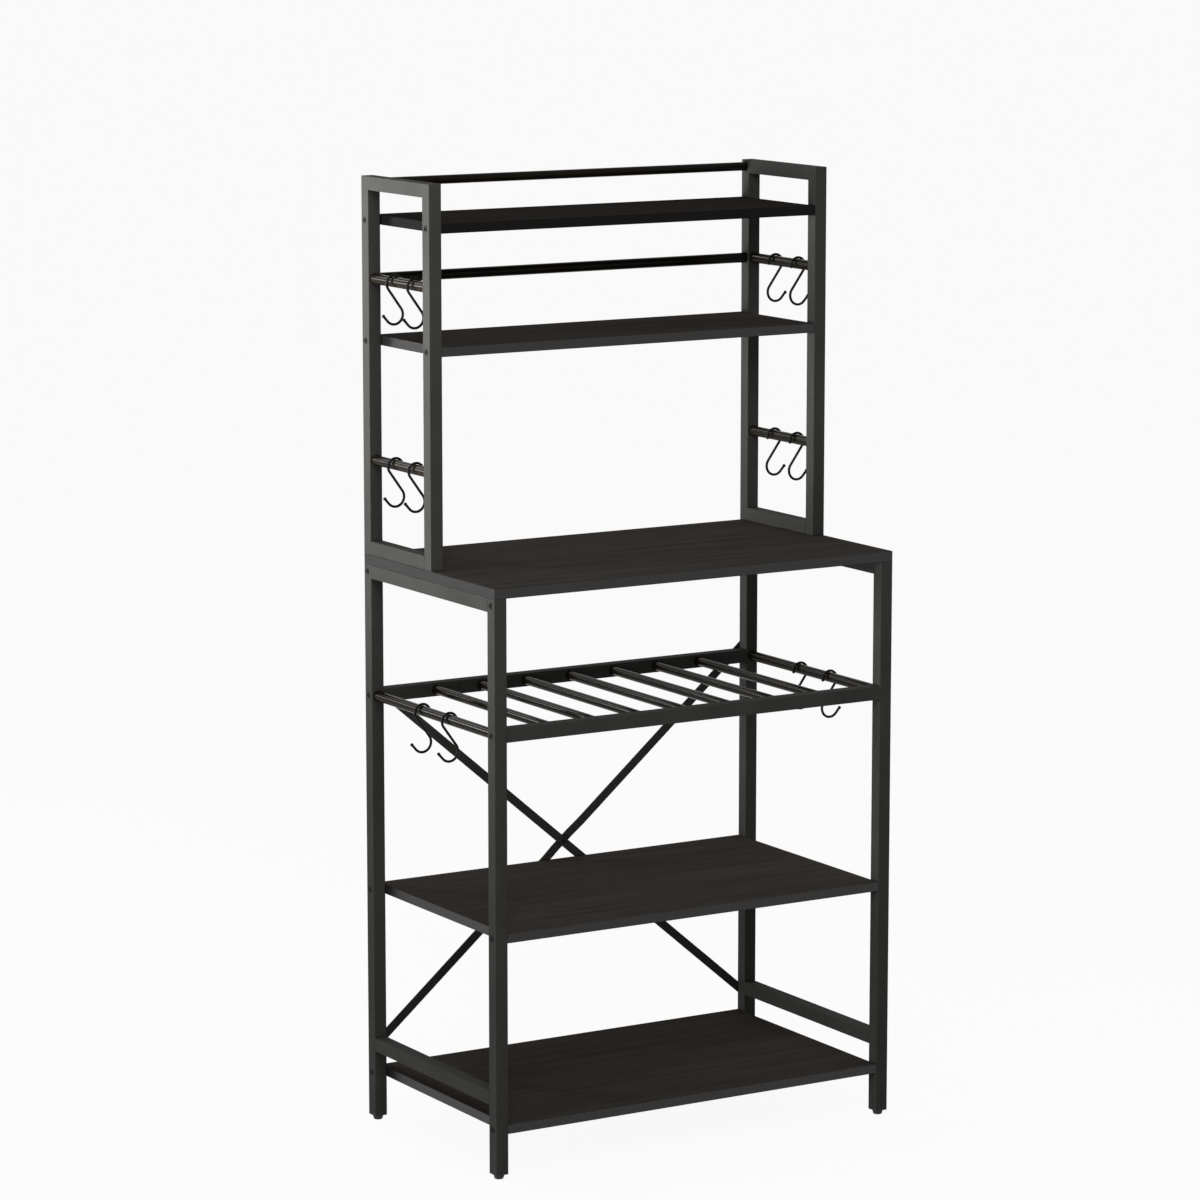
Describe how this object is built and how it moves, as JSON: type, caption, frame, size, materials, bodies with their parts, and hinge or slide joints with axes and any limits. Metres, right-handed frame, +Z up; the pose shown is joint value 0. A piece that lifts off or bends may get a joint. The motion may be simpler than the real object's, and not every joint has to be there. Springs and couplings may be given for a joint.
{
  "type": "kitchen rack",
  "caption": "Black steel-tube kitchen rack with dark boards: counter, wine bars and lower shelves below, half-depth hutch above, crossed back braces and S-hooks on side rods.",
  "frame": {"origin": "on the floor, under the middle of the box round the whole rack", "axes": "+Z up, the open front faces -Y, +X to the right seen from the front"},
  "size_m": [0.6906, 0.3854, 1.397],
  "materials": {
    "frame_steel": "satin powder coat",
    "rod_steel": "semi-gloss powder coat",
    "board": "black laminate with faint grain",
    "hook_wire": "gloss coat",
    "bolt_steel": "black oxide",
    "insert_steel": "zinc plated",
    "black_plastic": "moulded"
  },
  "bodies": {
    "rack": {"base_rod_left": "rod_steel", "base_rod_right": "rod_steel", "bottom_shelf": "board", "brace_bolts": "bolt_steel", "brace_falling": "frame_steel", "brace_rising": "frame_steel", "brace_rivet": "bolt_steel", "counter_board": "board", "counter_brackets": "frame_steel", "counter_rail_left": "frame_steel", "counter_rail_right": "frame_steel", "counter_screws": "bolt_steel", "frame_bolts": "bolt_steel", "hutch_back_rod": "rod_steel", "hutch_bolts": "bolt_steel", "hutch_foot_rail_left": "frame_steel", "hutch_foot_rail_right": "frame_steel", "hutch_guard_rod": "rod_steel", "hutch_post_back_left": "frame_steel", "hutch_post_back_right": "frame_steel", "hutch_post_front_left": "frame_steel", "hutch_post_front_right": "frame_steel", "hutch_rod_lower_left": "rod_steel", "hutch_rod_lower_right": "rod_steel", "hutch_rod_upper_left": "rod_steel", "hutch_rod_upper_right": "rod_steel", "hutch_top_rail_left": "frame_steel", "hutch_top_rail_right": "frame_steel", "leg_back_left": "frame_steel", "leg_back_right": "frame_steel", "leg_front_left": "frame_steel", "leg_front_right": "frame_steel", "leg_plugs": "black_plastic", "lower_rail_left": "frame_steel", "lower_rail_right": "frame_steel", "middle_shelf": "board", "rivet_nuts": "insert_steel", "second_shelf": "board", "threaded_inserts": "insert_steel", "top_shelf": "board", "wine_bars": "rod_steel", "wine_rail_back": "frame_steel", "wine_rail_front": "frame_steel"},
    "s_hook_base_left_back": {"s_hook_base_left_back": "hook_wire"},
    "s_hook_base_left_front": {"s_hook_base_left_front": "hook_wire"},
    "s_hook_base_right_back": {"s_hook_base_right_back": "hook_wire"},
    "s_hook_base_right_front": {"s_hook_base_right_front": "hook_wire"},
    "s_hook_lower_left_back": {"s_hook_lower_left_back": "hook_wire"},
    "s_hook_lower_left_front": {"s_hook_lower_left_front": "hook_wire"},
    "s_hook_lower_right_back": {"s_hook_lower_right_back": "hook_wire"},
    "s_hook_lower_right_front": {"s_hook_lower_right_front": "hook_wire"},
    "s_hook_upper_left_back": {"s_hook_upper_left_back": "hook_wire"},
    "s_hook_upper_left_front": {"s_hook_upper_left_front": "hook_wire"},
    "s_hook_upper_right_back": {"s_hook_upper_right_back": "hook_wire"},
    "s_hook_upper_right_front": {"s_hook_upper_right_front": "hook_wire"},
    "levelling_foot_back_left": {"levelling_foot_back_left": "black_plastic"},
    "levelling_foot_back_right": {"levelling_foot_back_right": "black_plastic"},
    "levelling_foot_front_left": {"levelling_foot_front_left": "black_plastic"},
    "levelling_foot_front_right": {"levelling_foot_front_right": "black_plastic"}
  },
  "joints": [
    {"name": "swing_base_left_back", "type": "hinge", "parent": "rack", "child": "s_hook_base_left_back", "pos_m": [-0.325, 0.03285, 0.6395], "axis": [0, 1, 0], "range_deg": [-60, 60]},
    {"name": "swing_base_left_front", "type": "hinge", "parent": "rack", "child": "s_hook_base_left_front", "pos_m": [-0.325, -0.04615, 0.6395], "axis": [0, 1, 0], "range_deg": [-60, 60]},
    {"name": "swing_base_right_back", "type": "hinge", "parent": "rack", "child": "s_hook_base_right_back", "pos_m": [0.325, 0.03285, 0.6395], "axis": [0, 1, 0], "range_deg": [-60, 60]},
    {"name": "swing_base_right_front", "type": "hinge", "parent": "rack", "child": "s_hook_base_right_front", "pos_m": [0.325, -0.04615, 0.6395], "axis": [0, 1, 0], "range_deg": [-60, 60]},
    {"name": "swing_lower_left_back", "type": "hinge", "parent": "rack", "child": "s_hook_lower_left_back", "pos_m": [-0.325, 0.10835, 0.9865], "axis": [0, 1, 0], "range_deg": [-60, 60]},
    {"name": "swing_lower_left_front", "type": "hinge", "parent": "rack", "child": "s_hook_lower_left_front", "pos_m": [-0.325, 0.04735, 0.9865], "axis": [0, 1, 0], "range_deg": [-60, 60]},
    {"name": "swing_lower_right_back", "type": "hinge", "parent": "rack", "child": "s_hook_lower_right_back", "pos_m": [0.325, 0.10835, 0.9865], "axis": [0, 1, 0], "range_deg": [-60, 60]},
    {"name": "swing_lower_right_front", "type": "hinge", "parent": "rack", "child": "s_hook_lower_right_front", "pos_m": [0.325, 0.04735, 0.9865], "axis": [0, 1, 0], "range_deg": [-60, 60]},
    {"name": "swing_upper_left_back", "type": "hinge", "parent": "rack", "child": "s_hook_upper_left_back", "pos_m": [-0.325, 0.10835, 1.2495], "axis": [0, 1, 0], "range_deg": [-60, 60]},
    {"name": "swing_upper_left_front", "type": "hinge", "parent": "rack", "child": "s_hook_upper_left_front", "pos_m": [-0.325, 0.04735, 1.2495], "axis": [0, 1, 0], "range_deg": [-60, 60]},
    {"name": "swing_upper_right_back", "type": "hinge", "parent": "rack", "child": "s_hook_upper_right_back", "pos_m": [0.325, 0.10835, 1.2495], "axis": [0, 1, 0], "range_deg": [-60, 60]},
    {"name": "swing_upper_right_front", "type": "hinge", "parent": "rack", "child": "s_hook_upper_right_front", "pos_m": [0.325, 0.04735, 1.2495], "axis": [0, 1, 0], "range_deg": [-60, 60]},
    {"name": "foot_back_left", "type": "slide", "parent": "rack", "child": "levelling_foot_back_left", "axis": [0, 0, -1], "range_m": [0, 0.01]},
    {"name": "foot_back_right", "type": "slide", "parent": "rack", "child": "levelling_foot_back_right", "axis": [0, 0, -1], "range_m": [0, 0.01]},
    {"name": "foot_front_left", "type": "slide", "parent": "rack", "child": "levelling_foot_front_left", "axis": [0, 0, -1], "range_m": [0, 0.01]},
    {"name": "foot_front_right", "type": "slide", "parent": "rack", "child": "levelling_foot_front_right", "axis": [0, 0, -1], "range_m": [0, 0.01]}
  ]
}
